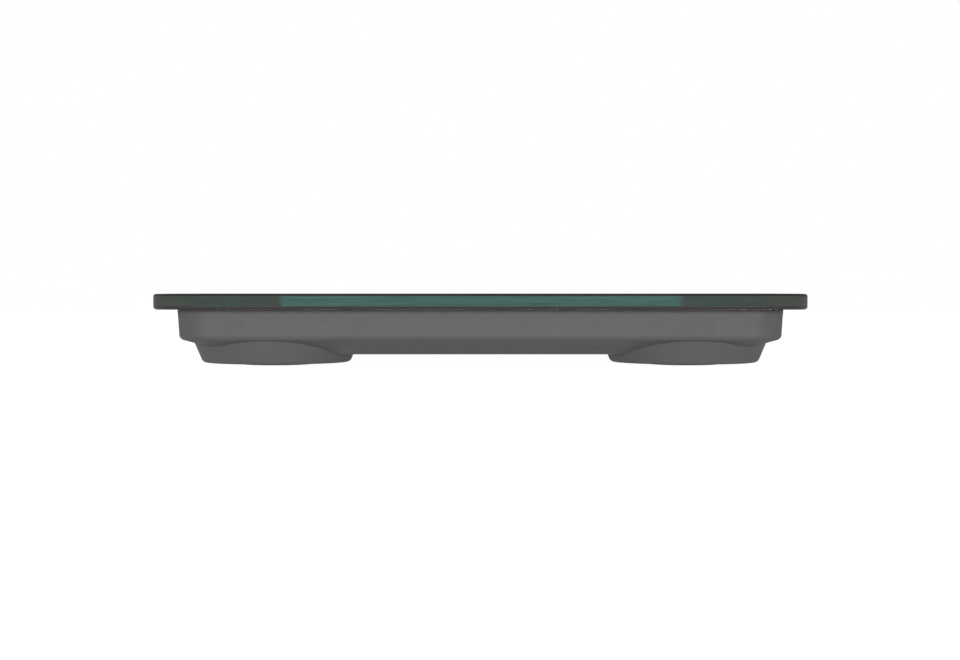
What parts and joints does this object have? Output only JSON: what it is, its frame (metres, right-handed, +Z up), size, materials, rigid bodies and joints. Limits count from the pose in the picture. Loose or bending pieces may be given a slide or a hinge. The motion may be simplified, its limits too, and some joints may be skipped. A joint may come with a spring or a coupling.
{
  "type": "kitchen scale",
  "caption": "Slim electronic kitchen scale: a glass platform bonded to a shallow grey housing that stands on round corner pods, each with a load cell over a sliding foot.",
  "frame": {"origin": "middle of the footprint, on the table that the foot pads stand on", "axes": "+X to the user's right, -Y to the front edge with the display, +Z up"},
  "size_m": [0.17, 0.235, 0.0189],
  "materials": {
    "glass": "tempered, polished faces, ground and rounded edge",
    "foam_tape": "black double-sided foam tape",
    "housing": "fine spark-eroded texture, mid grey",
    "dark_plastic": "smooth moulded",
    "white_plastic": "smooth moulded",
    "rubber": "matt, soft",
    "load_cell_steel": "stamped and nickel plated",
    "cell_steel": "bright nickel-plated can",
    "zinc_screw": "zinc plated",
    "spring_steel": "nickel plated",
    "silicone": "white potting silicone",
    "circuit_board": "green solder mask",
    "epoxy": "black potting",
    "display_glass": "reflective display",
    "elastomer": "striped conductive strip",
    "red_insulation": "wire insulation",
    "black_insulation": "wire insulation",
    "grey_insulation": "wire insulation"
  },
  "bodies": {
    "scale_body": {"glass_platform": "glass", "bonding_tape": "foam_tape", "base_housing": "housing", "circuit_board": "circuit_board", "controller_chip": "epoxy", "lcd_panel": "display_glass", "lcd_holder": "white_plastic", "zebra_connector": "elastomer", "touch_spring_left": "spring_steel", "touch_spring_right": "spring_steel", "board_screw_left": "zinc_screw", "board_screw_right": "zinc_screw", "tact_switch": "dark_plastic", "battery_cell": "cell_steel", "battery_contact_negative": "spring_steel", "battery_contact_positive": "spring_steel", "battery_lead_negative": "black_insulation", "battery_lead_positive": "red_insulation", "load_cell_front_left": "load_cell_steel", "gauge_coating_front_left": "silicone", "cell_retainer_front_left": "white_plastic", "cell_screw_front_left_1": "zinc_screw", "cell_screw_front_left_2": "zinc_screw", "cell_lead_front_left": "grey_insulation", "load_cell_front_right": "load_cell_steel", "gauge_coating_front_right": "silicone", "cell_retainer_front_right": "white_plastic", "cell_screw_front_right_1": "zinc_screw", "cell_screw_front_right_2": "zinc_screw", "cell_lead_front_right": "grey_insulation", "load_cell_rear_left": "load_cell_steel", "gauge_coating_rear_left": "silicone", "cell_retainer_rear_left": "white_plastic", "cell_screw_rear_left_1": "zinc_screw", "cell_screw_rear_left_2": "zinc_screw", "cell_lead_rear_left": "grey_insulation", "load_cell_rear_right": "load_cell_steel", "gauge_coating_rear_right": "silicone", "cell_retainer_rear_right": "white_plastic", "cell_screw_rear_right_1": "zinc_screw", "cell_screw_rear_right_2": "zinc_screw", "cell_lead_rear_right": "grey_insulation"},
    "foot_front_left": {"load_foot_front_left": "dark_plastic", "foot_pad_front_left": "rubber"},
    "foot_front_right": {"load_foot_front_right": "dark_plastic", "foot_pad_front_right": "rubber"},
    "foot_rear_left": {"load_foot_rear_left": "dark_plastic", "foot_pad_rear_left": "rubber"},
    "foot_rear_right": {"load_foot_rear_right": "dark_plastic", "foot_pad_rear_right": "rubber"},
    "button": {"unit_button": "dark_plastic"},
    "door": {"battery_door": "housing"}
  },
  "joints": [
    {"name": "foot_front_left_travel", "type": "slide", "parent": "scale_body", "child": "foot_front_left", "axis": [0, 0, 1], "range_m": [0, 0.0002], "stiffness_N_per_m": 62500},
    {"name": "foot_front_right_travel", "type": "slide", "parent": "scale_body", "child": "foot_front_right", "axis": [0, 0, 1], "range_m": [0, 0.0002], "stiffness_N_per_m": 62500},
    {"name": "foot_rear_left_travel", "type": "slide", "parent": "scale_body", "child": "foot_rear_left", "axis": [0, 0, 1], "range_m": [0, 0.0002], "stiffness_N_per_m": 62500},
    {"name": "foot_rear_right_travel", "type": "slide", "parent": "scale_body", "child": "foot_rear_right", "axis": [0, 0, 1], "range_m": [0, 0.0002], "stiffness_N_per_m": 62500},
    {"name": "unit_button_press", "type": "slide", "parent": "scale_body", "child": "button", "axis": [0, 0, 1], "range_m": [0, 0.0005], "stiffness_N_per_m": 3000},
    {"name": "battery_door_swing", "type": "hinge", "parent": "scale_body", "child": "door", "pos_m": [0, -0.032, 0.0037], "axis": [1, 0, 0], "range_deg": [0, 75]}
  ]
}
